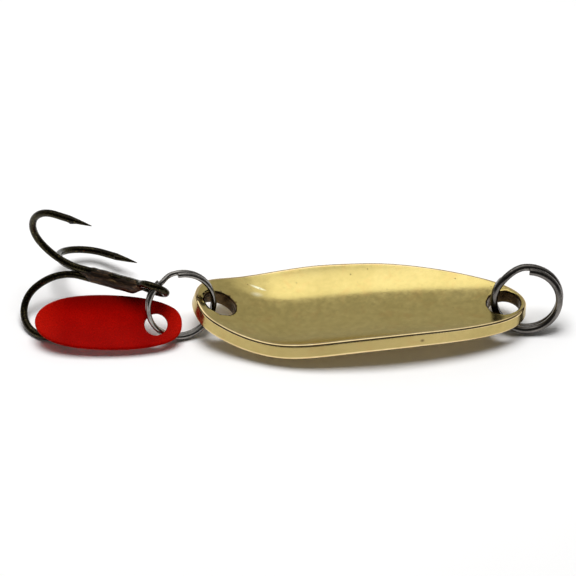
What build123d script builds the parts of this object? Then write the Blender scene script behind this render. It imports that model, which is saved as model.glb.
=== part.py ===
from build123d import *
import os
from math import atan2, cos, degrees, pi, radians, sin, sqrt

# Spoon lure: a dished metal blade with a hole at each end, a split ring in each
# hole, and on the tail ring a brazed treble hook and a red flipper tab.
# Millimetres, +Z up, long axis along X with the line-tie end towards +X.
# The lure lies on z = 0 with the hollow side of the blade up.

# ---------------------------------------------------------------- dimensions
blade_length = 39.4           # along the upper rim; 40 over the lower edge of the tail
blade_thickness = 1.9
dish_radius = 17.0            # hollow side of the cross-section
head_hole_radius = 2.00
tail_hole_radius = 2.00

front_ring_radius = 3.94      # to the wire's centre
front_wire = 0.86
front_pitch = 0.92
tail_ring_radius = 4.04
tail_wire = 0.62
tail_pitch = 0.67
front_turns, tail_turns = 1.85, 1.90    # each split ring is nearly two full turns

hook_wire = 0.88
hook_offset = 0.53            # shank wire's centre from the treble's axis
hook_shank = 10.3             # eye centre to the start of the throw
throw_radius = 6.1
throw_angle = 58.2
bend_radius = 3.5
bend_angle = 183.8            # direction of the point leg, from the shank
point_leg = 4.95
point_length = 2.5
eye_radius = 1.55             # to the wire's centre
neck_radius = 1.60

tab_length = 17.5
tab_width = 6.7
tab_thickness = 0.5
tab_dish = 22.0
tab_hole_radius = 1.60
tab_hole_inset = 3.3

# origin of the part: centre of the bounding box, at its bottom
ox, oy, oz = 0.34, 1.67, 0.01

os.makedirs("parts", exist_ok=True)


def at(x, y, z):
    return Vector(x - ox, y - oy, z - oz)


# ------------------------------------------------------------ spoon blade
blade_y = -0.60
tail_tip_x = -11.00
head_tip_x = tail_tip_x + blade_length

# half width of the outline at stations along the blade
outline = [
    (-10.76, 1.35), (-10.32, 2.32), (-9.70, 3.16), (-8.20, 4.16), (-5.80, 5.20), (-3.30, 6.08), (-0.90, 6.68),
    (1.50, 6.98), (3.90, 7.04), (6.30, 6.94), (11.10, 6.62), (15.90, 5.96),
    (20.70, 4.98), (23.10, 4.30), (25.60, 3.32), (27.40, 2.06),
]
# height of the hollow's lowest line: tail curled up, belly low, head level
profile = [
    (-14.00, 7.75), (-11.05, 5.55), (-9.70, 4.62), (-8.20, 3.84), (-5.80, 2.88), (-3.30, 2.24),
    (-0.90, 1.98), (1.50, 2.06), (3.90, 2.33), (6.30, 2.65), (11.10, 3.20),
    (15.90, 3.55), (20.70, 3.72), (25.60, 3.88), (30.50, 4.02),
]

rim_low, rim_high = -1.0, 9.0  # heights of the two outlines that the rim is drawn between


def rim_at(z):
    # the outline where the rim's walls cross height z
    tips = [(tail_tip_x, 0.0)] + outline + [(head_tip_x, 0.0)]
    points = []
    for side in (1, -1):
        run = tips if side == 1 else list(reversed(tips))[1:-1]
        for x, w in run:
            below = [q for q in profile if q[0] <= x][-1]
            above = [q for q in profile if q[0] > x][0]
            slope = (above[1] - below[1]) / (above[0] - below[0])
            height = below[1] + slope * (x - below[0]) + dish_radius - sqrt(dish_radius**2 - w**2)
            lean = w / sqrt(dish_radius**2 - w**2)
            points.append(at(x + 0.4 * slope * (height - z), blade_y + side * (w + lean * (height - z)), oz))
    return points


with BuildPart() as spoon_blade:
    # curved slab: the dished cross-section carried along the blade's profile
    with BuildLine() as spine:
        Spline(*[at(x, blade_y, z) for x, z in profile])
    start = spine.line @ 0
    along = spine.line % 0
    with BuildSketch(Plane(origin=start, x_dir=(0, 1, 0), z_dir=along)) as section:
        with BuildLine():
            half = 30.0
            r_in, r_out = dish_radius, dish_radius + blade_thickness
            a0 = radians(half)
            inner = ThreePointArc(
                (-r_in * sin(a0), r_in - r_in * cos(a0)), (0, 0), (r_in * sin(a0), r_in - r_in * cos(a0))
            )
            outer = ThreePointArc(
                (-r_out * sin(a0), r_in - r_out * cos(a0)),
                (0, -blade_thickness),
                (r_out * sin(a0), r_in - r_out * cos(a0)),
            )
            Line(inner @ 0, outer @ 0)
            Line(inner @ 1, outer @ 1)
        make_face()
    sweep(path=spine.wire())
    # outline of the blade, its rim square to the dished surface: wider below, narrower above
    with BuildSketch(Plane.XY.offset(rim_low - oz)):
        with BuildLine():
            Spline(*rim_at(rim_low), periodic=True)
        make_face()
    with BuildSketch(Plane.XY.offset(rim_high - oz)):
        with BuildLine():
            Spline(*rim_at(rim_high), periodic=True)
        make_face()
    loft(ruled=True, mode=Mode.INTERSECT)
    # ring holes, square to the local surface
    with BuildSketch(Plane(origin=at(-8.23, blade_y, 3.0), z_dir=(sin(radians(22)), 0, cos(radians(22))))):
        Circle(tail_hole_radius)
    extrude(amount=6, both=True, mode=Mode.SUBTRACT)
    with BuildSketch(Plane(origin=at(25.72, blade_y, 3.0), z_dir=(-0.03, 0, 1))):
        Circle(head_hole_radius)
    extrude(amount=6, both=True, mode=Mode.SUBTRACT)
spoon_blade.part.label = "spoon_blade"
export_step(spoon_blade.part, "parts/spoon_blade.step")

# ------------------------------------------------------------ split rings
front_centre = at(28.47, -0.42, 4.375)
front_normal = Vector(0, -0.958, 0.287).normalized()
front_plane = Plane(origin=front_centre, x_dir=(1, 0, 0), z_dir=front_normal)

tail_centre = at(-12.74, -1.40, 4.30)
tail_normal = Vector(0.27, -0.91, 0.314).normalized()
tail_plane = Plane(origin=tail_centre, x_dir=Vector(0.959, 0.284, 0).normalized(), z_dir=tail_normal)


def ring_frame(plane, start_deg, pitch, turns):
    # plane whose X axis points at the wire's first end
    a = radians(start_deg)
    xd = plane.x_dir * cos(a) + plane.y_dir * sin(a)
    return Plane(origin=plane.origin - plane.z_dir * (pitch * turns / 2), x_dir=xd, z_dir=plane.z_dir)


front_frame = ring_frame(front_plane, 143, front_pitch, front_turns)
front_coil = front_frame * Helix(front_pitch, front_pitch * front_turns, front_ring_radius)
with BuildPart() as front_split_ring:
    with BuildSketch(Plane(origin=front_coil @ 0, z_dir=front_coil % 0)):
        Circle(front_wire / 2)
    sweep(path=front_coil, is_frenet=True)
front_split_ring.part.label = "front_split_ring"
export_step(front_split_ring.part, "parts/front_split_ring.step")

tail_frame = ring_frame(tail_plane, 125, tail_pitch, tail_turns)
tail_coil = tail_frame * Helix(tail_pitch, tail_pitch * tail_turns, tail_ring_radius)
with BuildPart() as tail_split_ring:
    with BuildSketch(Plane(origin=tail_coil @ 0, z_dir=tail_coil % 0)):
        Circle(tail_wire / 2)
    sweep(path=tail_coil, is_frenet=True)
tail_split_ring.part.label = "tail_split_ring"
export_step(tail_split_ring.part, "parts/tail_split_ring.step")

# ------------------------------------------------------------ treble hook
eye = at(-15.55, -1.66, 6.62)
shank_dir = Vector(-0.8879, 0.451, -0.091).normalized()
third_dir = Vector(-0.3253, -0.7552, -0.5691).normalized()
third_dir = (third_dir - shank_dir * shank_dir.dot(third_dir)).normalized()
side_dir = shank_dir.cross(third_dir).normalized()


def radial(deg):
    return third_dir * cos(radians(deg)) + side_dir * sin(radians(deg))


def hook_plane(deg):
    # X along the shank from the eye, Y towards the point
    return Plane(origin=eye, x_dir=shank_dir, z_dir=shank_dir.cross(radial(deg)))


shank_start = 2.9             # where the shank leaves the eye's neck


def hook_path(start):
    first = Line((start, hook_offset), (hook_shank, hook_offset))
    throw = JernArc(first @ 1, first % 1, throw_radius, throw_angle)
    bend = JernArc(throw @ 1, throw % 1, bend_radius, bend_angle - throw_angle)
    return Line(bend @ 1, (bend @ 1) + (bend % 1) * (point_leg - point_length))


# third hook: a single hook laid in the groove of the double hook
third = hook_plane(0)
with BuildPart() as treble_third_hook:
    with BuildLine(third) as wire_path:
        leg = hook_path(shank_start)
    with BuildSketch(Plane(origin=wire_path.wire() @ 0, z_dir=wire_path.wire() % 0)):
        Circle(hook_wire / 2)
    sweep(path=wire_path.wire())
    tip_plane = Plane(origin=leg @ 1, z_dir=leg % 1)
    with BuildSketch(tip_plane):
        Circle(hook_wire / 2)
    with BuildSketch(tip_plane.offset(point_length)):
        Circle(0.05)
    loft()
treble_third_hook.part.label = "treble_third_hook"
export_step(treble_third_hook.part, "parts/treble_third_hook.step")

# double hook: two hooks bent from one wire, with the eye in its middle
eye_lift = -hook_offset * 0.5
eye_half = hook_offset * sqrt(3) / 2
eye_plane = Plane(
    origin=eye + third_dir * eye_lift, x_dir=shank_dir, z_dir=shank_dir.cross(side_dir)
)
neck_run = sqrt((neck_radius + eye_radius) ** 2 - (eye_half + neck_radius) ** 2)
eye_centre_x = shank_start - neck_run
neck_turn = degrees(atan2(neck_run, eye_half + neck_radius))
with BuildPart() as treble_double_hook:
    for deg in (120, 240):
        with BuildLine(hook_plane(deg)) as wire_path:
            leg = hook_path(shank_start)
        with BuildSketch(Plane(origin=wire_path.wire() @ 0, z_dir=wire_path.wire() % 0)):
            Circle(hook_wire / 2)
        sweep(path=wire_path.wire())
        tip_plane = Plane(origin=leg @ 1, z_dir=leg % 1)
        with BuildSketch(tip_plane):
            Circle(hook_wire / 2)
        with BuildSketch(tip_plane.offset(point_length)):
            Circle(0.05)
        loft()
    with BuildLine(eye_plane) as eye_path:
        neck_in = JernArc((shank_start, eye_half), (-1, 0), neck_radius, -neck_turn)
        loop = JernArc(neck_in @ 1, neck_in % 1, eye_radius, 180 + 2 * neck_turn)
        neck_out = JernArc(loop @ 1, loop % 1, neck_radius, -neck_turn)
    with BuildSketch(Plane(origin=eye_path.wire() @ 0, z_dir=eye_path.wire() % 0)):
        Circle(hook_wire / 2)
    sweep(path=eye_path.wire())
treble_double_hook.part.label = "treble_double_hook"
export_step(treble_double_hook.part, "parts/treble_double_hook.step")

# braze that fills the core and the grooves between the three shanks
with BuildPart() as treble_braze:
    with BuildSketch(Plane(origin=eye + shank_dir * (shank_start + 0.1), x_dir=third_dir, z_dir=shank_dir)):
        Circle(0.60)
        with PolarLocations(hook_offset, 3):
            Circle(hook_wire / 2 + 0.004, mode=Mode.SUBTRACT)
    extrude(amount=hook_shank - shank_start - 0.3)
treble_braze.part.label = "treble_braze"
export_step(treble_braze.part, "parts/treble_braze.step")

# ------------------------------------------------------------ flipper tab
tab_hole = at(-15.90, -2.92, 2.72)
tab_along = Vector(-0.9992, -0.0135, 0.0385).normalized()
tab_up = Vector(0.04, -0.506, 0.8616)
tab_up = (tab_up - tab_along * tab_along.dot(tab_up)).normalized()
tab_plane = Plane(origin=tab_hole - tab_along * tab_hole_inset, x_dir=tab_along, z_dir=tab_up)
tab_outline = [
    (0.030, 0.46), (0.085, 0.66), (0.17, 0.815), (0.28, 0.925), (0.42, 0.99), (0.56, 1.0),
    (0.70, 0.955), (0.82, 0.84), (0.905, 0.665), (0.965, 0.43),
]
with BuildPart() as flipper_tab:
    section_plane = Plane(
        origin=tab_plane.origin - tab_along * 1.0, x_dir=tab_plane.y_dir, z_dir=tab_along
    )
    with BuildSketch(section_plane):
        with BuildLine():
            h = 4.2
            r_in, r_out = tab_dish, tab_dish + tab_thickness
            up = 1 if section_plane.y_dir.dot(tab_up) > 0 else -1
            arc_in = ThreePointArc(
                (-h, up * (r_in - sqrt(r_in**2 - h**2))), (0, 0), (h, up * (r_in - sqrt(r_in**2 - h**2)))
            )
            arc_out = ThreePointArc(
                (-h, up * (r_in - sqrt(r_out**2 - h**2))), (0, -up * tab_thickness), (h, up * (r_in - sqrt(r_out**2 - h**2)))
            )
            Line(arc_in @ 0, arc_out @ 0)
            Line(arc_in @ 1, arc_out @ 1)
        make_face()
    extrude(amount=tab_length + 2)
    with BuildSketch(tab_plane.offset(-4)):
        with BuildLine():
            Spline(
                (0, 0),
                *[(s * tab_length, w * tab_width / 2) for s, w in tab_outline],
                (tab_length, 0),
                *[(s * tab_length, -w * tab_width / 2) for s, w in reversed(tab_outline)],
                periodic=True,
            )
        make_face()
    extrude(amount=8, mode=Mode.INTERSECT)
    with BuildSketch(tab_plane.offset(-4)):
        with Locations((tab_hole_inset, 0)):
            Circle(tab_hole_radius)
    extrude(amount=8, mode=Mode.SUBTRACT)
flipper_tab.part.label = "flipper_tab"
export_step(flipper_tab.part, "parts/flipper_tab.step")
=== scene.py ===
import math

import bmesh
import bpy
import numpy as np
from mathutils import Matrix, Vector
from mathutils.geometry import delaunay_2d_cdt


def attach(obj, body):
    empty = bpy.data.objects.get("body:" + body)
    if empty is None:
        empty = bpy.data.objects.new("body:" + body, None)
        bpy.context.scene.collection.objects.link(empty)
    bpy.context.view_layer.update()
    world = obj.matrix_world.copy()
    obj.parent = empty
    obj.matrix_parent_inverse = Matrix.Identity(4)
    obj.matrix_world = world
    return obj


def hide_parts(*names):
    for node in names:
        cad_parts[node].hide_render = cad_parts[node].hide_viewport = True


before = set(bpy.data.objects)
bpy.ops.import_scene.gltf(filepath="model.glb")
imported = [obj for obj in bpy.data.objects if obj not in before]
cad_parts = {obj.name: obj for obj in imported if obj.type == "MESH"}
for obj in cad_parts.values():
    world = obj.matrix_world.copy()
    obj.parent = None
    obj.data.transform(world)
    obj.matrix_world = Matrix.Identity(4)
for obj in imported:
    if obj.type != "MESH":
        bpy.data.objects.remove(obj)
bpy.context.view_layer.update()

MM = 0.001
OX, OY, OZ = 0.34, 1.67, 0.01          # the part's origin, in the layout's millimetres


def at(x, y, z):
    return np.array([x - OX, y - OY, z - OZ], float)


def unit(v):
    v = np.asarray(v, float)
    return v / np.linalg.norm(v)


# ------------------------------------------------------------------ curves
def cubic(xs, ys):
    """Natural cubic through the points: returns value(x) and slope(x)."""
    xs, ys = np.asarray(xs, float), np.asarray(ys, float)
    n = len(xs)
    h = np.diff(xs)
    a = np.zeros((n, n))
    r = np.zeros(n)
    a[0, 0] = a[-1, -1] = 1.0
    for i in range(1, n - 1):
        a[i, i - 1], a[i, i], a[i, i + 1] = h[i - 1], 2 * (h[i - 1] + h[i]), h[i]
        r[i] = 6 * ((ys[i + 1] - ys[i]) / h[i] - (ys[i] - ys[i - 1]) / h[i - 1])
    m = np.linalg.solve(a, r)

    def both(x):
        x = np.asarray(x, float)
        i = np.clip(np.searchsorted(xs, x) - 1, 0, n - 2)
        t0, t1 = xs[i + 1] - x, x - xs[i]
        hi = h[i]
        v = (m[i] * t0**3 + m[i + 1] * t1**3) / (6 * hi) + (ys[i] / hi - m[i] * hi / 6) * t0 + (ys[i + 1] / hi - m[i + 1] * hi / 6) * t1
        s = (-m[i] * t0**2 + m[i + 1] * t1**2) / (2 * hi) - ys[i] / hi + m[i] * hi / 6 + ys[i + 1] / hi - m[i + 1] * hi / 6
        return v, s

    return both


def closed_spline(points, step):
    """Smooth closed curve through 2D points, resampled evenly."""
    p = np.asarray(points, float)
    n = len(p)
    d = np.linalg.norm(np.roll(p, -1, 0) - p, axis=1)
    t = np.concatenate([[0], np.cumsum(d)])
    # three periods of a natural cubic: the middle one is periodic to working accuracy
    tt = np.concatenate([t[:-1] - t[-1], t[:-1], t[:-1] + t[-1], [2 * t[-1]]])
    pp = np.concatenate([p, p, p, p[:1]])
    fx, fy = cubic(tt, pp[:, 0]), cubic(tt, pp[:, 1])
    s = np.linspace(0, t[-1], 1600, endpoint=False)
    q = np.stack([fx(s)[0], fy(s)[0]], 1)
    seg = np.linalg.norm(np.roll(q, -1, 0) - q, axis=1)
    arc = np.concatenate([[0], np.cumsum(seg)])
    count = int(round(arc[-1] / step))
    want = np.linspace(0, arc[-1], count, endpoint=False)
    sx = np.interp(want, arc, np.append(s, t[-1]))
    return np.stack([fx(sx)[0], fy(sx)[0]], 1)


def outward(loop):
    """Unit outward normals of a closed 2D loop of either sense."""
    tan = np.roll(loop, -1, 0) - np.roll(loop, 1, 0)
    tan /= np.linalg.norm(tan, axis=1)[:, None]
    area = 0.5 * np.sum(loop[:, 0] * np.roll(loop[:, 1], -1) - np.roll(loop[:, 0], -1) * loop[:, 1])
    n = np.stack([tan[:, 1], -tan[:, 0]], 1)
    return n if area > 0 else -n


def inside(points, loop):
    x, y = points[:, 0], points[:, 1]
    hit = np.zeros(len(points), bool)
    a, b = loop, np.roll(loop, -1, 0)
    for (x0, y0), (x1, y1) in zip(a, b):
        if y0 == y1:
            continue
        cross = ((y0 > y) != (y1 > y)) & (x < (x1 - x0) * (y - y0) / (y1 - y0) + x0)
        hit ^= cross
    return hit


# ------------------------------------------------------------------ mesh builders
def make_object(name, verts_mm, faces, mats, face_mat=None, body=None, replaces=None):
    me = bpy.data.meshes.new(name)
    me.from_pydata([tuple(v * MM) for v in verts_mm], [], faces)
    me.validate()
    for m in mats:
        me.materials.append(m)
    if face_mat is not None:
        me.polygons.foreach_set("material_index", np.asarray(face_mat, np.int32))
    me.polygons.foreach_set("use_smooth", np.ones(len(me.polygons), bool))
    bm = bmesh.new()
    bm.from_mesh(me)
    bmesh.ops.recalc_face_normals(bm, faces=bm.faces)
    bm.to_mesh(me)
    bm.free()
    me.update()
    o = bpy.data.objects.new(name, me)
    bpy.context.scene.collection.objects.link(o)
    if body:
        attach(o, body)
    if replaces:
        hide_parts(*replaces)
    return o


def plate(surface, outer, holes, thickness, r_edge, r_hole, grid, lean=None, lip=None):
    """Closed shell of a curved plate with rounded edges.
    surface(uv) -> (points, unit normals) of the upper face; outer is a closed 2D loop;
    holes is a list of (centre, radius, count). Face regions: 0 upper, 1 edge round, 2 side, 3 lower, 4 hole wall."""
    verts, faces, mat = [], [], []

    def put(uv, h):
        p, n = surface(uv)
        if lean is not None:
            n = n * np.asarray(lean)
            n = n / np.linalg.norm(n, axis=1)[:, None]
        pts = p - n * np.asarray(h)[..., None] if np.ndim(h) else p - n * h
        base = len(verts)
        verts.extend(pts)
        return np.arange(base, base + len(pts))

    def profile(r, steps, groove):
        a = np.linspace(0, np.pi / 2, steps)
        top = [(-r + r * math.sin(x), r - r * math.cos(x)) for x in a]
        side = [(0.0, r + (thickness - 2 * r) * f) for f in (0.12, 0.5, 0.88)]
        if groove is not None:
            deep, wide = groove
            side = [(0.0, r + 0.02), (-0.75 * deep, r + 0.02 + 0.25 * wide), (-deep, r + 0.02 + 0.5 * wide),
                    (-0.75 * deep, r + 0.02 + 0.75 * wide), (0.0, r + 0.02 + wide), (0.0, r + 0.08 + wide)] + side[1:]
        low = [(-r + r * math.cos(x), thickness - r + r * math.sin(x)) for x in a]
        return top + side + low, len(top), len(side)

    loops = []
    todo = [(outer, outward(outer), r_edge, 8, 2)]
    for c, rad, count in holes:
        a = np.linspace(0, 2 * np.pi, count, endpoint=False)
        ring = np.stack([c[0] + rad * np.cos(a), c[1] + rad * np.sin(a)], 1)
        todo.append((ring, -outward(ring), r_hole, 5, 4))
    for loop, out, r, steps, side_mat in todo:
        prof, nt, ns = profile(r, steps, lip if side_mat == 2 else None)
        rows = [put(loop + out * d, h) for d, h in prof]
        for k in range(len(rows) - 1):
            a, b = rows[k], rows[k + 1]
            if k < nt - 1 or k >= nt + ns:
                m = 1 if side_mat == 2 else 4
            else:
                m = side_mat
            for i in range(len(a)):
                j = (i + 1) % len(a)
                faces.append((a[i], a[j], b[j], b[i]))
                mat.append(m)
        loops.append((loop + out * prof[0][0], loop + out * prof[-1][0], rows[0], rows[-1]))

    # fill of the upper and lower faces over one 2D triangulation
    rim = loops[0][0]
    lo, hi = rim.min(0), rim.max(0)
    rowsn = int((hi[1] - lo[1]) / (grid * 0.866)) + 1
    pts = []
    for r in range(rowsn):
        y = lo[1] + r * grid * 0.866
        xs = np.arange(lo[0] + (grid / 2 if r % 2 else 0), hi[0], grid)
        pts.append(np.stack([xs, np.full(len(xs), y)], 1))
    pts = np.concatenate(pts)
    pts = pts[inside(pts, rim)]
    far = np.full(len(pts), True)
    for i in range(len(pts)):
        if np.min(np.sum((rim - pts[i]) ** 2, 1)) < (0.55 * grid) ** 2:
            far[i] = False
    for (c, rad, count), lp in zip(holes, loops[1:]):
        far &= np.hypot(pts[:, 0] - c[0], pts[:, 1] - c[1]) > rad + r_hole + 0.55 * grid
    pts = pts[far]
    allp = [Vector(p) for lp in loops for p in lp[0]] + [Vector(p) for p in pts]
    edges, start = [], 0
    for lp in loops:
        n = len(lp[0])
        edges += [(start + i, start + (i + 1) % n) for i in range(n)]
        start += n
    v2, e2, f2, ov, oe, of_ = delaunay_2d_cdt(allp, edges, [], 0, 1e-7)
    uv = np.array([tuple(v) for v in v2])
    tri = np.array([f for f in f2 if len(f) == 3])
    cen = uv[tri].mean(1)
    keep = inside(cen, rim)
    for c, rad, count in holes:
        keep &= np.hypot(cen[:, 0] - c[0], cen[:, 1] - c[1]) > rad + 0.5 * r_hole
    tri = tri[keep]
    ring_top = np.concatenate([lp[2] for lp in loops])
    ring_low = np.concatenate([lp[3] for lp in loops])
    nring = len(ring_top)
    top_ids = put(pts, 0.0)
    low_ids = put(pts, thickness)
    source = np.full(len(v2), -1)
    for i, o in enumerate(ov):
        source[i] = o[0] if len(o) else -1
    up = {i: (ring_top[s] if s < nring else top_ids[s - nring]) for i, s in enumerate(source)}
    dn = {i: (ring_low[s] if s < nring else low_ids[s - nring]) for i, s in enumerate(source)}
    for a, b, c in tri:
        faces.append((up[a], up[b], up[c]))
        mat.append(0)
        faces.append((dn[c], dn[b], dn[a]))
        mat.append(3)
    return np.array(verts), [tuple(int(i) for i in f) for f in faces], mat


def frames(path):
    """Parallel-transport frames along a polyline: tangents, and two cross axes."""
    t = np.gradient(path, axis=0)
    t /= np.linalg.norm(t, axis=1)[:, None]
    n = np.zeros_like(t)
    seed = np.array([0.0, 0.0, 1.0]) if abs(t[0][2]) < 0.9 else np.array([0.0, 1.0, 0.0])
    n[0] = unit(seed - t[0] * (seed @ t[0]))
    for i in range(1, len(t)):
        v = n[i - 1] - t[i] * (n[i - 1] @ t[i])
        n[i] = unit(v)
    return t, n, np.cross(t, n)


def sweep(path, radius, sides=24, shape=None, round_ends=(0.0, 0.0)):
    """Tube along path with a radius per point. shape(i, direction) adds to the radius in a direction."""
    path = np.asarray(path, float)
    radius = np.broadcast_to(np.asarray(radius, float), (len(path),)).copy()
    t, n, b = frames(path)
    rows, centres = [], []
    for i, (p, r) in enumerate(zip(path, radius)):
        rows.append((p, r, t[i], n[i], b[i], i))
    first, last = rows[0], rows[-1]
    lead, tail = [], []
    e0, e1 = round_ends
    if e0 > 0:
        for a in np.linspace(80, 12, 5):
            a = math.radians(a)
            lead.append((first[0] - first[2] * e0 * math.sin(a), first[1] - e0 + e0 * math.cos(a), *first[2:5], 0))
    if e1 > 0:
        for a in np.linspace(12, 80, 5):
            a = math.radians(a)
            tail.append((last[0] + last[2] * e1 * math.sin(a), last[1] - e1 + e1 * math.cos(a), *last[2:5], len(path) - 1))
    rows = lead + rows + tail
    verts, faces = [], []
    ang = np.linspace(0, 2 * np.pi, sides, endpoint=False)
    for p, r, tt, nn, bb, i in rows:
        for a in ang:
            d = nn * math.cos(a) + bb * math.sin(a)
            rr = r + (shape(i, d) if shape else 0.0)
            verts.append(p + d * rr)
    m = len(rows)
    for i in range(m - 1):
        for j in range(sides):
            k = (j + 1) % sides
            faces.append((i * sides + j, i * sides + k, (i + 1) * sides + k, (i + 1) * sides + j))
    for row, centre in ((0, rows[0][0]), (m - 1, rows[-1][0])):
        c = len(verts)
        verts.append(centre)
        for j in range(sides):
            k = (j + 1) % sides
            faces.append((row * sides + j, row * sides + k, c))
    return np.array(verts), faces


def join(parts):
    verts, faces, base = [], [], 0
    for v, f in parts:
        verts.append(v)
        faces += [tuple(i + base for i in g) for g in f]
        base += len(v)
    return np.concatenate(verts), faces


class Path2:
    """Line and arc runs in a plane, sampled evenly."""

    def __init__(self, start, direction):
        self.p = [np.array(start, float)]
        self.d = unit(direction)

    def line(self, length, step=0.25):
        n = max(2, int(length / step))
        a = self.p[-1]
        for i in range(1, n + 1):
            self.p.append(a + self.d * length * i / n)
        return self

    def arc(self, radius, angle, step=0.16):
        s = 1.0 if angle > 0 else -1.0
        turn = math.radians(abs(angle))
        a = self.p[-1]
        normal = np.array([-self.d[1], self.d[0]]) * s
        c = a + normal * radius
        n = max(3, int(radius * turn / step))
        for i in range(1, n + 1):
            w = turn * i / n
            self.p.append(c - normal * radius * math.cos(w) + self.d * radius * math.sin(w))
        self.d = unit(self.d * math.cos(turn) + normal * math.sin(turn))
        return self


# ------------------------------------------------------------------ materials
def new_material(name):
    m = bpy.data.materials.new(name)
    m.use_nodes = True
    t = m.node_tree
    t.nodes.clear()
    out = t.nodes.new("ShaderNodeOutputMaterial")
    bsdf = t.nodes.new("ShaderNodeBsdfPrincipled")
    t.links.new(bsdf.outputs[0], out.inputs[0])
    coord = t.nodes.new("ShaderNodeTexCoord")
    mapping = t.nodes.new("ShaderNodeMapping")
    mapping.inputs["Scale"].default_value = (1000, 1000, 1000)   # texture space in millimetres
    t.links.new(coord.outputs["Object"], mapping.inputs[0])
    return m, t, bsdf, mapping.outputs[0]


def noise(t, vec, scale, detail=4.0, rough=0.55, stretch=None, distort=0.0):
    if stretch is not None:
        mp = t.nodes.new("ShaderNodeMapping")
        mp.inputs["Scale"].default_value = stretch
        t.links.new(vec, mp.inputs[0])
        vec = mp.outputs[0]
    n = t.nodes.new("ShaderNodeTexNoise")
    n.inputs["Scale"].default_value = scale
    n.inputs["Detail"].default_value = detail
    n.inputs["Roughness"].default_value = rough
    n.inputs["Distortion"].default_value = distort
    t.links.new(vec, n.inputs["Vector"])
    return n.outputs["Fac"]


def ramp(t, fac, stops):
    r = t.nodes.new("ShaderNodeValToRGB")
    e = r.color_ramp.elements
    while len(e) < len(stops):
        e.new(0.5)
    for el, (pos, col) in zip(e, stops):
        el.position = pos
        el.color = (*col, 1.0) if len(col) == 3 else col
    t.links.new(fac, r.inputs[0])
    return r.outputs[0]


def span(t, fac, lo, hi, a=0.35, b=0.65):
    m = t.nodes.new("ShaderNodeMapRange")
    m.inputs["From Min"].default_value = a
    m.inputs["From Max"].default_value = b
    m.inputs["To Min"].default_value = lo
    m.inputs["To Max"].default_value = hi
    t.links.new(fac, m.inputs["Value"])
    return m.outputs[0]


def mix(t, fac, a, b, kind="MIX"):
    m = t.nodes.new("ShaderNodeMix")
    m.data_type = "RGBA"
    m.blend_type = kind
    m.clamp_factor = True
    ins = {i.identifier: i for i in m.inputs}
    for key, v in (("Factor_Float", fac), ("A_Color", a), ("B_Color", b)):
        if hasattr(v, "is_output") or isinstance(v, bpy.types.NodeSocket):
            t.links.new(v, ins[key])
        else:
            ins[key].default_value = v if key == "Factor_Float" else (*v, 1.0)
    return [o for o in m.outputs if o.identifier == "Result_Color"][0]


def bump(t, bsdf, layers):
    """layers: list of (height socket, distance in mm, strength)."""
    last = None
    for h, dist, strength in layers:
        b = t.nodes.new("ShaderNodeBump")
        b.inputs["Strength"].default_value = strength
        b.inputs["Distance"].default_value = dist * MM
        t.links.new(h, b.inputs["Height"])
        if last is not None:
            t.links.new(last, b.inputs["Normal"])
        last = b.outputs[0]
    t.links.new(last, bsdf.inputs["Normal"])


def specks(t, vec, scale, size):
    """Small scattered spots: 1 inside a spot, 0 outside."""
    v = t.nodes.new("ShaderNodeTexVoronoi")
    v.feature = "F1"
    v.inputs["Scale"].default_value = scale
    v.inputs["Randomness"].default_value = 1.0
    t.links.new(vec, v.inputs["Vector"])
    return span(t, v.outputs["Distance"], 1.0, 0.0, size * 0.5, size)


def spot(t, vec, centre, turn, size, soft):
    """One oval spot at a place on the part: 1 inside, 0 outside. size = half lengths in mm, turn about Z in degrees."""
    off = t.nodes.new("ShaderNodeVectorMath")
    off.operation = "SUBTRACT"
    off.inputs[1].default_value = centre
    t.links.new(vec, off.inputs[0])
    rot = t.nodes.new("ShaderNodeVectorRotate")
    rot.rotation_type = "Z_AXIS"
    rot.inputs["Angle"].default_value = math.radians(-turn)
    t.links.new(off.outputs[0], rot.inputs["Vector"])
    div = t.nodes.new("ShaderNodeVectorMath")
    div.operation = "DIVIDE"
    div.inputs[1].default_value = size
    t.links.new(rot.outputs[0], div.inputs[0])
    ln = t.nodes.new("ShaderNodeVectorMath")
    ln.operation = "LENGTH"
    t.links.new(div.outputs[0], ln.inputs[0])
    return span(t, ln.outputs["Value"], 1.0, 0.0, soft, 1.0)


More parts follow.
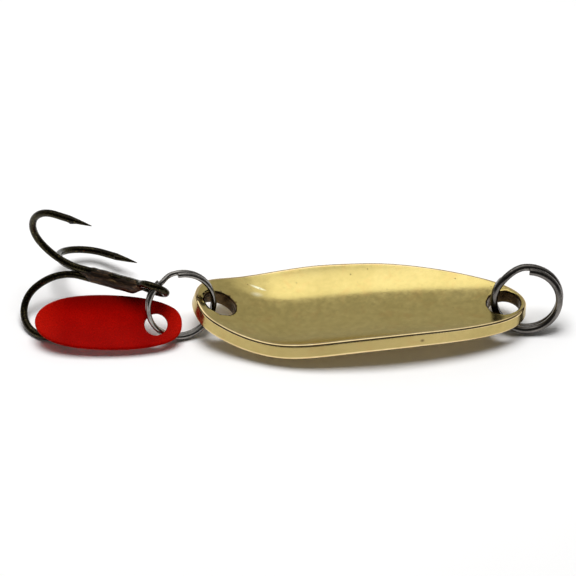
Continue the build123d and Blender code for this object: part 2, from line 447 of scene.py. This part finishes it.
def brass(name, dark, mid, light, rough, bumps, spots=None, marks_and_painted_highlights=()):
    m, t, s, vec = new_material(name)
    broad = noise(t, vec, 0.16, 3.0, 0.55)
    fine = noise(t, vec, 1.3, 6.0, 0.62)
    col = ramp(t, broad, [(0.30, dark), (0.50, mid), (0.72, light)])
    col2 = ramp(t, fine, [(0.28, tuple(c * 0.78 for c in mid)), (0.5, mid), (0.75, tuple(min(1, c * 1.12) for c in light))])
    col = mix(t, 0.45, col, col2)
    warm = noise(t, vec, 0.55, 4.0, 0.6, distort=0.6)
    col = mix(t, span(t, warm, 0.0, 0.35, 0.52, 0.70), col, (mid[0] * 0.98, mid[1] * 0.78, mid[2] * 0.72))
    if spots:
        sp = specks(t, vec, spots[0], spots[1])
        gate = span(t, noise(t, vec, 0.8, 2.0), 0.0, 1.0, 0.50, 0.62)
        mul = t.nodes.new("ShaderNodeMath")
        mul.operation = "MULTIPLY"
        t.links.new(sp, mul.inputs[0])
        t.links.new(gate, mul.inputs[1])
        col = mix(t, mul.outputs[0], col, (mid[0] * 0.30, mid[1] * 0.24, mid[2] * 0.16))
    # each oval tints the colour: a mark of the metal's own, or a painted highlight where a material lists one
    for centre, turn, size, soft, tint in marks_and_painted_highlights:
        col = mix(t, spot(t, vec, centre, turn, size, soft), col, tint)
    t.links.new(col, s.inputs["Base Color"])
    s.inputs["Metallic"].default_value = 1.0
    t.links.new(span(t, fine, rough[0], rough[1]), s.inputs["Roughness"])
    layers = []
    for scale, dist, strength, stretch in bumps:
        layers.append((noise(t, vec, scale, 5.0, 0.6, stretch=stretch), dist, strength))
    if spots:
        inv = t.nodes.new("ShaderNodeMath")
        inv.operation = "SUBTRACT"
        inv.inputs[0].default_value = 1.0
        t.links.new(mul.outputs[0], inv.inputs[1])
        layers.append((inv.outputs[0], 0.05, 0.6))
    bump(t, s, layers)
    return m


# the two pale oval marks in the hollow near the tail are painted highlights: a bright crescent and a lighter spot where
# the dished floor catches the light
mat_hollow = brass(
    "brass_satin_hollow", (0.60, 0.475, 0.165), (0.68, 0.55, 0.20), (0.74, 0.605, 0.238), (0.15, 0.22),
    [(0.30, 0.08, 0.14, None), (1.6, 0.016, 0.16, (1.0, 1.0, 1.0)), (9.0, 0.004, 0.30, None)], spots=(1.0, 0.075),
    marks_and_painted_highlights=[((-3.95, 1.75, 2.7), -14, (1.15, 0.20, 3.0), 0.35, (1.0, 0.98, 0.68)), ((-4.1, 0.75, 2.5), 0, (0.9, 0.45, 3.0), 0.0, (0.82, 0.74, 0.46))])
mat_rim = brass(
    "brass_polished_rim", (0.70, 0.52, 0.24), (0.82, 0.64, 0.33), (0.90, 0.73, 0.42), (0.06, 0.12),
    [(0.6, 0.05, 0.15, None), (6.0, 0.006, 0.30, None)])
# the side band is a darker copy of the blade's brass: its lower base colour is painted shade for a band that reflects
# less light
mat_side_painted_shade = brass(
    "brass_side_band_painted_shade", (0.42, 0.325, 0.12), (0.50, 0.39, 0.15), (0.58, 0.45, 0.19), (0.16, 0.26),
    [(0.7, 0.04, 0.18, None), (3.0, 0.012, 0.20, (1.0, 1.0, 1.6)), (9.0, 0.006, 0.25, None)], spots=(0.9, 0.09),
    marks_and_painted_highlights=[((15.5, -8.3, 3.55), 0, (0.34, 2.0, 0.26), 0.2, (0.20, 0.14, 0.06))])
mat_back = brass(
    "brass_polished_back", (0.60, 0.45, 0.19), (0.72, 0.56, 0.27), (0.80, 0.65, 0.35), (0.12, 0.24),
    [(0.3, 0.10, 0.20, None), (5.0, 0.008, 0.30, None)], spots=(0.8, 0.08))
# the hole walls are near-black brass: painted shade for the dark inside of the two holes
mat_hole_painted_shade = brass(
    "brass_hole_wall_painted_shade", (0.045, 0.026, 0.012), (0.09, 0.055, 0.024), (0.22, 0.15, 0.07), (0.22, 0.36),
    [(2.0, 0.03, 0.35, None)])


def plated_wire(name, dark, light, rough, wear_and_highlight_tint, coat):
    """Plated or lacquered wire, drawn along its length: fine scratches, and lighter streaks that are partly wear and
    partly painted highlight.
    """
    m, t, s, vec = new_material(name)
    broad = noise(t, vec, 0.7, 4.0, 0.6)
    fine = noise(t, vec, 5.0, 5.0, 0.65)
    col = ramp(t, broad, [(0.32, dark), (0.68, light)])
    # lighter patches: partly wear, partly painted highlight
    wear_and_highlight_mask = span(t, fine, 0.0, 0.7, 0.55, 0.72)
    col = mix(t, wear_and_highlight_mask, col, wear_and_highlight_tint)
    t.links.new(col, s.inputs["Base Color"])
    s.inputs["Metallic"].default_value = 1.0
    s.inputs["Coat Weight"].default_value = coat
    s.inputs["Coat Roughness"].default_value = 0.12
    t.links.new(span(t, fine, rough[0], rough[1]), s.inputs["Roughness"])
    bump(t, s, [(noise(t, vec, 2.0, 4.0, 0.6), 0.02, 0.25), (noise(t, vec, 14.0, 4.0, 0.6), 0.006, 0.35)])
    return m


# the lighter streak colour on the rings and hook is partly wear and partly painted highlight, such as the hook's
# golden-olive glints
mat_front_ring = plated_wire("black_nickel_wire", (0.085, 0.078, 0.072), (0.20, 0.185, 0.170), (0.12, 0.22), (0.30, 0.28, 0.255), 0.0)
mat_tail_ring = plated_wire("nickel_wire", (0.17, 0.16, 0.15), (0.36, 0.34, 0.315), (0.08, 0.16), (0.60, 0.575, 0.53), 0.0)
mat_hook = plated_wire("bronzed_hook_wire", (0.010, 0.008, 0.005), (0.034, 0.028, 0.012), (0.18, 0.32), (0.22, 0.18, 0.065), 0.10)


def make_braze():
    m, t, s, vec = new_material("bronzed_braze")
    d = unit((-0.8879, 0.451, -0.091))
    rot = Vector((0, 0, 1)).rotation_difference(Vector(d)).inverted().to_euler()
    mp = t.nodes.new("ShaderNodeMapping")
    mp.inputs["Rotation"].default_value = rot
    t.links.new(vec, mp.inputs[0])
    along = mp.outputs[0]
    streaks = noise(t, along, 3.2, 6.0, 0.7, stretch=(1.0, 1.0, 0.16), distort=0.5)
    lumps = noise(t, vec, 1.6, 5.0, 0.65)
    col = ramp(t, streaks, [(0.30, (0.010, 0.007, 0.005)), (0.47, (0.028, 0.016, 0.010)), (0.57, (0.090, 0.045, 0.022)), (0.68, (0.30, 0.20, 0.085))])
    col = mix(t, span(t, lumps, 0.0, 0.35), col, (0.020, 0.015, 0.008))
    t.links.new(col, s.inputs["Base Color"])
    s.inputs["Metallic"].default_value = 0.85
    s.inputs["Coat Weight"].default_value = 0.25
    s.inputs["Coat Roughness"].default_value = 0.25
    t.links.new(span(t, streaks, 0.30, 0.60), s.inputs["Roughness"])
    bump(t, s, [(streaks, 0.10, 0.7), (noise(t, vec, 7.0, 5.0, 0.65), 0.02, 0.5)])
    return m


mat_braze = make_braze()


def make_tab():
    m, t, s, vec = new_material("translucent_red_plastic")
    cloud = noise(t, vec, 0.20, 3.0, 0.5)
    fine = noise(t, vec, 2.4, 5.0, 0.6)
    col = ramp(t, cloud, [(0.32, (0.33, 0.0014, 0.0004)), (0.55, (0.38, 0.0018, 0.0005)), (0.75, (0.45, 0.0030, 0.0008))])
    sep = t.nodes.new("ShaderNodeSeparateXYZ")
    t.links.new(vec, sep.inputs[0])
    # painted shade darker towards the edge that is turned up, and a painted glow brighter at both ends, standing in for
    # light through the translucent plastic
    painted_shade_across = span(t, sep.outputs["Y"], 0.0, 0.75, -3.6, -1.6)
    col = mix(t, painted_shade_across, col, (0.070, 0.0014, 0.0008))
    # painted glow: brighter red towards both ends of the tab
    ends = t.nodes.new("ShaderNodeMath")
    ends.operation = "ABSOLUTE"
    off = t.nodes.new("ShaderNodeMath")
    off.operation = "ADD"
    off.inputs[1].default_value = 21.7
    t.links.new(sep.outputs["X"], off.inputs[0])
    t.links.new(off.outputs[0], ends.inputs[0])
    col = mix(t, span(t, ends.outputs[0], 0.0, 0.55, 5.0, 8.8), col, (0.66, 0.012, 0.004))
    t.links.new(col, s.inputs["Base Color"])
    s.inputs["Metallic"].default_value = 0.0
    s.inputs["IOR"].default_value = 1.06
    s.inputs["Transmission Weight"].default_value = 0.30
    s.inputs["Specular IOR Level"].default_value = 0.20
    t.links.new(span(t, fine, 0.22, 0.34), s.inputs["Roughness"])
    bump(t, s, [(noise(t, vec, 0.5, 3.0, 0.5), 0.05, 0.25), (noise(t, vec, 6.0, 4.0, 0.6), 0.006, 0.30)])
    return m


mat_tab = make_tab()

# ------------------------------------------------------------------ blade
blade_y = -0.60
tail_tip_x, blade_length, blade_thickness = -11.00, 39.4, 1.9
half_widths = [
    (-10.76, 1.35), (-10.32, 2.32), (-9.70, 3.16), (-8.20, 4.16), (-5.80, 5.20), (-3.30, 6.08), (-0.90, 6.68),
    (1.50, 6.98), (3.90, 7.04), (6.30, 6.94), (11.10, 6.62), (15.90, 5.96),
    (20.70, 4.98), (23.10, 4.30), (25.60, 3.32), (27.40, 2.06),
]
lowest_line = [
    (-14.00, 7.75), (-11.05, 5.55), (-9.70, 4.62), (-8.20, 3.84), (-5.80, 2.88), (-3.30, 2.24),
    (-0.90, 1.98), (1.50, 2.06), (3.90, 2.33), (6.30, 2.65), (11.10, 3.20),
    (15.90, 3.55), (20.70, 3.72), (25.60, 3.88), (30.50, 4.02),
]
spine = cubic(*zip(*lowest_line))
FLOOR_HALF, FLOOR_R, WALL_R = 2.05, 27.0, 12.1


def blade_surface(uv):
    x, d = uv[:, 0], uv[:, 1] - blade_y
    z, dz = spine(x)
    a = np.abs(d)
    over = np.maximum(a - FLOOR_HALF, 0.0)
    slope = np.where(a < FLOOR_HALF, a / FLOOR_R, FLOOR_HALF / FLOOR_R + over / WALL_R)
    dish = np.where(a < FLOOR_HALF, a * a / (2 * FLOOR_R), FLOOR_HALF**2 / (2 * FLOOR_R) + FLOOR_HALF / FLOOR_R * over + over * over / (2 * WALL_R))
    p = np.stack([x - OX, uv[:, 1] - OY, z + dish - OZ], 1)
    n = np.stack([-dz, -slope * np.sign(d), np.ones_like(x)], 1)
    return p, n / np.linalg.norm(n, axis=1)[:, None]


rim_points = [(tail_tip_x, blade_y)] + [(x, blade_y + w) for x, w in half_widths] \
    + [(tail_tip_x + blade_length, blade_y)] + [(x, blade_y - w) for x, w in reversed(half_widths)]
rim_loop = closed_spline(rim_points, 0.30)
v, f, region = plate(
    blade_surface, rim_loop,
    [((-8.06, blade_y), 1.84, 72), ((25.70, blade_y), 2.00, 72)],
    blade_thickness, 0.30, 0.18, 0.30, lean=(0.4, 0.7, 1.0))
blade = make_object("spoon_blade_shell", v, f, [mat_hollow, mat_rim, mat_side_painted_shade, mat_back, mat_hole_painted_shade], region,
                    body="blade", replaces=["spoon_blade"])


# ------------------------------------------------------------------ split rings
def split_ring(centre, x_dir, normal, radius, wire, pitch, start_deg, jog, end_deg, tuck):
    """Two coils side by side, a short jog between them and two cut ends.
    jog = (from, to) in degrees after the start; end_deg = the wire's whole turn; tuck = radial set of the near coil."""
    normal, x_dir = unit(normal), unit(x_dir)
    y_dir = np.cross(normal, x_dir)
    a = np.arange(0, end_deg + 1e-6, 3.0)
    s = np.clip((a - jog[0]) / (jog[1] - jog[0]), 0, 1)
    s = s * s * (3 - 2 * s)
    rad = radius + tuck(a)
    h = (s - 0.5) * pitch
    w = np.radians(a + start_deg)
    path = centre + (np.cos(w) * rad)[:, None] * x_dir + (np.sin(w) * rad)[:, None] * y_dir + h[:, None] * normal
    return sweep(path, wire / 2, 28, round_ends=(0.10, 0.10))


front_centre = at(28.47, -0.42, 4.375)
front_normal = unit((0, -0.958, 0.287))
v, f = split_ring(front_centre, (1, 0, 0), front_normal, 3.94, 0.86, 0.89, 143, (312, 357), 664,
                  lambda a: -0.22 * np.clip(1 - a / 50, 0, 1) - 0.16 * np.clip((a - 420) / 240, 0, 1))
make_object("front_ring_wire", v, f, [mat_front_ring], body="front_ring", replaces=["front_split_ring"])

tail_centre = at(-12.74, -1.40, 4.30)
tail_normal = unit((0.27, -0.91, 0.314))
v, f = split_ring(tail_centre, (0.959, 0.284, 0), tail_normal, 4.04, 0.62, 0.64, 125, (336, 358), 684,
                  lambda a: -0.08 * np.clip((a - 420) / 260, 0, 1))
make_object("tail_ring_wire", v, f, [mat_tail_ring], body="tail_ring", replaces=["tail_split_ring"])

# ------------------------------------------------------------------ treble hook
hook_wire, hook_offset, hook_shank = 0.88, 0.53, 10.3
throw_radius, throw_angle, bend_radius, bend_angle, point_leg = 6.1, 58.2, 3.5, 183.8, 4.95
eye_radius, neck_radius, shank_start = 1.55, 1.60, 2.9
eye = at(-15.55, -1.66, 6.62)
shank_dir = unit((-0.8879, 0.451, -0.091))
third_dir = np.array((-0.3253, -0.7552, -0.5691))
third_dir = unit(third_dir - shank_dir * (shank_dir @ third_dir))
side_dir = np.cross(shank_dir, third_dir)


def radial(deg):
    return third_dir * math.cos(math.radians(deg)) + side_dir * math.sin(math.radians(deg))


def hook_line(deg, start):
    p = Path2((start, hook_offset), (1, 0)).line(hook_shank - start)
    p.arc(throw_radius, throw_angle).arc(bend_radius, bend_angle - throw_angle).line(point_leg, 0.10)
    q = np.array(p.p)
    return eye + q[:, :1] * shank_dir + q[:, 1:] * radial(deg)


def wire_radii(path, taper_ends):
    seg = np.linalg.norm(np.diff(path, axis=0), axis=1)
    arc = np.concatenate([[0], np.cumsum(seg)])
    total = arc[-1]
    r = np.full(len(path), hook_wire / 2)
    from_end = []
    if taper_ends[0]:
        from_end.append(arc)
    if taper_ends[1]:
        from_end.append(total - arc)
    for d in from_end:
        k = np.clip(d / 3.1, 0, 1)
        r = np.minimum(r, 0.022 + (hook_wire / 2 - 0.022) * k ** 0.80)
    return r, from_end


def barb_shape(path, from_end, inner_dirs):
    """A small raised sliver on the inner side of the point, its open end towards the bend."""
    def shape(i, d):
        add = 0.0
        for dist, inner in zip(from_end, inner_dirs):
            s = dist[i]
            if 1.9 < s < 3.15:
                lift = 0.26 * ((s - 1.9) / 1.0 if s < 2.9 else max(0.0, 1 - (s - 2.9) / 0.2))
                c = float(d @ inner)
                if c > 0.55:
                    add += lift * ((c - 0.55) / 0.45) ** 1.3
        return add
    return shape


# third hook
path = hook_line(0, shank_start)
r, ends = wire_radii(path, (False, True))
from_start = np.linalg.norm(path - path[0], axis=1)
r = np.where(from_start < 1.2, np.minimum(r, hook_wire / 2 * (0.42 + 0.58 * np.clip(from_start / 1.2, 0, 1) ** 0.7)), r)
v, f = sweep(path, r, 24, barb_shape(path, ends, [-radial(0)]), round_ends=(0.08, 0.0))
make_object("third_hook_wire", v, f, [mat_hook], body="treble", replaces=["treble_third_hook"])

# double hook with the eye
eye_lift, eye_half = -hook_offset * 0.5, hook_offset * math.sqrt(3) / 2
neck_run = math.sqrt((neck_radius + eye_radius) ** 2 - (eye_half + neck_radius) ** 2)
neck_turn = math.degrees(math.atan2(neck_run, eye_half + neck_radius))
loop = Path2((shank_start, eye_half), (-1, 0)).arc(neck_radius, -neck_turn, 0.12).arc(eye_radius, 180 + 2 * neck_turn, 0.12).arc(neck_radius, -neck_turn, 0.12)
q = np.array(loop.p)
eye_line = eye + third_dir * eye_lift + q[:, :1] * shank_dir + q[:, 1:] * side_dir
leg_a, leg_b = hook_line(120, shank_start), hook_line(240, shank_start)
path = np.concatenate([leg_a[::-1], eye_line[1:-1], leg_b])
r, ends = wire_radii(path, (True, True))
v, f = sweep(path, r, 24, barb_shape(path, ends, [-radial(120), -radial(240)]))
make_object("double_hook_wire", v, f, [mat_hook], body="treble", replaces=["treble_double_hook"])


# braze along the three shanks: a lumpy sleeve that lets the wires' backs show, and narrows round the neck of the eye
def braze_mesh():
    rng = np.random.default_rng(7)
    waves = rng.uniform(0, 2 * np.pi, (7, 2))
    freq = np.array([(1, 0.9), (2, 1.7), (3, 0.6), (1, 2.6), (4, 1.3), (2, 3.4), (5, 5.1)])
    amp = np.array([0.022, 0.018, 0.016, 0.016, 0.012, 0.012, 0.010])
    sides, rows = 72, 130
    s0, s1 = 1.60, hook_shank + 0.55
    verts, faces = [], []
    for i in range(rows):
        f_ = i / (rows - 1)
        s = s0 + (s1 - s0) * f_
        neck = min(1.0, max(0.0, (s - 1.7) / 1.5))
        neck = neck * neck * (3 - 2 * neck)           # 0 round the neck, 1 on the three shanks
        end = min(1.0, max(0.0, (s1 - s) / 2.2)) ** 0.8 * min(1.0, max(0.0, (s - s0) / 0.35)) ** 0.5
        shift = third_dir * (-hook_offset * 0.5) * (1 - neck)
        for j in range(sides):
            a = 2 * np.pi * j / sides
            wob = float(np.sum(amp * np.sin(freq[:, 0] * a + freq[:, 1] * s + waves[:, 0])))
            full = 0.905 + 0.065 * math.cos(3 * a)
            cx, cy = 0.47, 0.93                        # flat oval over the two wires of the neck
            thin = cx * cy / math.sqrt((cy * math.cos(a)) ** 2 + (cx * math.sin(a)) ** 2)
            rad = (thin * (1 - neck) + full * neck + wob) * (0.25 + 0.75 * end)
            verts.append(eye + shift + shank_dir * s + (third_dir * math.cos(a) + side_dir * math.sin(a)) * rad)
    for i in range(rows - 1):
        for j in range(sides):
            k = (j + 1) % sides
            faces.append((i * sides + j, i * sides + k, (i + 1) * sides + k, (i + 1) * sides + j))
    for row in (0, rows - 1):
        c = len(verts)
        first = verts[row * sides:(row + 1) * sides]
        verts.append(np.mean(first, axis=0))
        for j in range(sides):
            faces.append((row * sides + j, row * sides + (j + 1) % sides, c))
    return np.array(verts), faces


v, f = braze_mesh()
make_object("shank_braze", v, f, [mat_braze], body="treble", replaces=["treble_braze"])

# ------------------------------------------------------------------ flipper tab
tab_length, tab_width, tab_thickness, tab_dish, tab_hole_radius, tab_hole_inset = 17.5, 6.7, 0.5, 22.0, 1.36, 3.3
tab_hole = at(-15.90, -2.92, 2.72)
tab_along = unit((-0.9992, -0.0135, 0.0385))
tab_up = np.array((0.04, -0.506, 0.8616))
tab_up = unit(tab_up - tab_along * (tab_along @ tab_up))
tab_side = np.cross(tab_up, tab_along)
tab_origin = tab_hole - tab_along * tab_hole_inset
tab_half = [
    (0.030, 0.46), (0.085, 0.66), (0.17, 0.815), (0.28, 0.925), (0.42, 0.99), (0.56, 1.0),
    (0.70, 0.955), (0.82, 0.84), (0.905, 0.665), (0.965, 0.43),
]


def tab_surface(uv):
    u, w = uv[:, 0], uv[:, 1]
    rise = tab_dish - np.sqrt(tab_dish**2 - w**2)
    slope = w / np.sqrt(tab_dish**2 - w**2)
    p = tab_origin + u[:, None] * tab_along + w[:, None] * tab_side + rise[:, None] * tab_up
    n = tab_up[None, :] - slope[:, None] * tab_side
    return p, n / np.linalg.norm(n, axis=1)[:, None]


tab_points = [(0, 0)] + [(s * tab_length, w * tab_width / 2) for s, w in tab_half] \
    + [(tab_length, 0)] + [(s * tab_length, -w * tab_width / 2) for s, w in reversed(tab_half)]
v, f, region = plate(tab_surface, closed_spline(tab_points, 0.22), [((tab_hole_inset - 0.20, 0.12), tab_hole_radius, 56)],
                     tab_thickness, 0.20, 0.12, 0.45)
make_object("flipper_tab_plate", v, f, [mat_tab], body="tab", replaces=["flipper_tab"])

# ------------------------------------------------------------------ floor
def floor():
    me = bpy.data.meshes.new("floor")
    s = 3.0
    me.from_pydata([(-s, -s, 0), (s, -s, 0), (s, s, 0), (-s, s, 0)], [], [(0, 1, 2, 3)])
    o = bpy.data.objects.new("floor", me)
    bpy.context.scene.collection.objects.link(o)
    m, t, sh, vec = new_material("pale_floor")
    col = ramp(t, noise(t, vec, 0.02, 2.0), [(0.3, (0.90, 0.90, 0.905)), (0.7, (0.93, 0.93, 0.93))])
    t.links.new(col, sh.inputs["Base Color"])
    sh.inputs["Roughness"].default_value = 0.9
    sh.inputs["Specular IOR Level"].default_value = 0.1
    me.materials.append(m)
    return o


floor()

# ------------------------------------------------------------------ light
def area(name, location, target, size, energy, color=(1, 1, 1)):
    d = bpy.data.lights.new(name, "AREA")
    d.shape = "RECTANGLE"
    d.size, d.size_y = size
    d.energy = energy
    d.color = color
    o = bpy.data.objects.new(name, d)
    bpy.context.scene.collection.objects.link(o)
    o.location = location
    o.rotation_mode = "QUATERNION"
    o.rotation_quaternion = (Vector(target) - Vector(location)).to_track_quat("-Z", "Y")
    o.visible_camera = False
    return o


def panel(name, x, y, z, size, radiance):
    """Level panel facing down, given by its brightness."""
    return area(name, (x, y, z), (x, y, 0), size, radiance * math.pi * size[0] * size[1])


for soft in (panel("softbox_wide", 0.000, 0.065, 0.344, (0.46, 0.33), 0.32),
             panel("softbox_middle", -0.010, 0.102, 0.342, (0.30, 0.255), 0.38),
             panel("softbox_core", -0.015, 0.125, 0.340, (0.16, 0.20), 0.37)):
    soft.visible_diffuse = False
fill = panel("floor_light", -0.01, 0.02, 0.338, (0.20, 0.20), 9.4)
fill.visible_glossy = False

w = bpy.data.worlds.new("studio")
w.use_nodes = True
bpy.context.scene.world = w
t = w.node_tree
t.nodes.clear()
out = t.nodes.new("ShaderNodeOutputWorld")
coord = t.nodes.new("ShaderNodeTexCoord")
sep = t.nodes.new("ShaderNodeSeparateXYZ")
t.links.new(coord.outputs["Generated"], sep.inputs[0])
rp = t.nodes.new("ShaderNodeValToRGB")
e = rp.color_ramp.elements
for pos, level in ((0.0, 0.36), (0.30, 0.42), (0.62, 0.42), (0.80, 0.40), (1.0, 0.40)):
    el = e[0] if pos == 0.0 else e[-1] if pos == 1.0 else e.new(pos)
    el.position = pos
    el.color = (level, level * 0.985, level * 0.95, 1)
t.links.new(sep.outputs["Z"], rp.inputs[0])
behind = t.nodes.new("ShaderNodeMapRange")
behind.interpolation_type = "SMOOTHSTEP"
behind.inputs["From Min"].default_value = -0.25
behind.inputs["From Max"].default_value = 0.35
behind.inputs["To Min"].default_value = 0.14
behind.inputs["To Max"].default_value = 1.0
t.links.new(sep.outputs["Y"], behind.inputs["Value"])
shade = t.nodes.new("ShaderNodeVectorMath")
shade.operation = "SCALE"
t.links.new(rp.outputs[0], shade.inputs[0])
t.links.new(behind.outputs[0], shade.inputs["Scale"])
bg = t.nodes.new("ShaderNodeBackground")
t.links.new(shade.outputs[0], bg.inputs[0])
bg.inputs[1].default_value = 1.0
plain = t.nodes.new("ShaderNodeBackground")
plain.inputs[0].default_value = (0.93, 0.93, 0.93, 1)
path_node = t.nodes.new("ShaderNodeLightPath")
mx = t.nodes.new("ShaderNodeMixShader")
t.links.new(path_node.outputs["Is Camera Ray"], mx.inputs[0])
t.links.new(bg.outputs[0], mx.inputs[1])
t.links.new(plain.outputs[0], mx.inputs[2])
t.links.new(mx.outputs[0], out.inputs[0])

# ------------------------------------------------------------------ camera
elevation = math.radians(42.0)
target = Vector((0.0 - OX, 2.853 - OY, 3.168 - OZ)) * MM
back = Vector((0.0, -math.cos(elevation), math.sin(elevation)))
cam = bpy.data.cameras.new("camera")
cam.sensor_width = 36.0
cam.lens = 208.1
camera = bpy.data.objects.new("camera", cam)
bpy.context.scene.collection.objects.link(camera)
camera.location = target + back * 0.400
camera.rotation_mode = "QUATERNION"
camera.rotation_quaternion = (-back).to_track_quat("-Z", "Y")
cam.clip_start, cam.clip_end = 0.01, 20.0
bpy.context.scene.camera = camera

bpy.context.scene.view_settings.view_transform = "Standard"
bpy.context.scene.view_settings.look = "None"

bpy.context.view_layer.update()
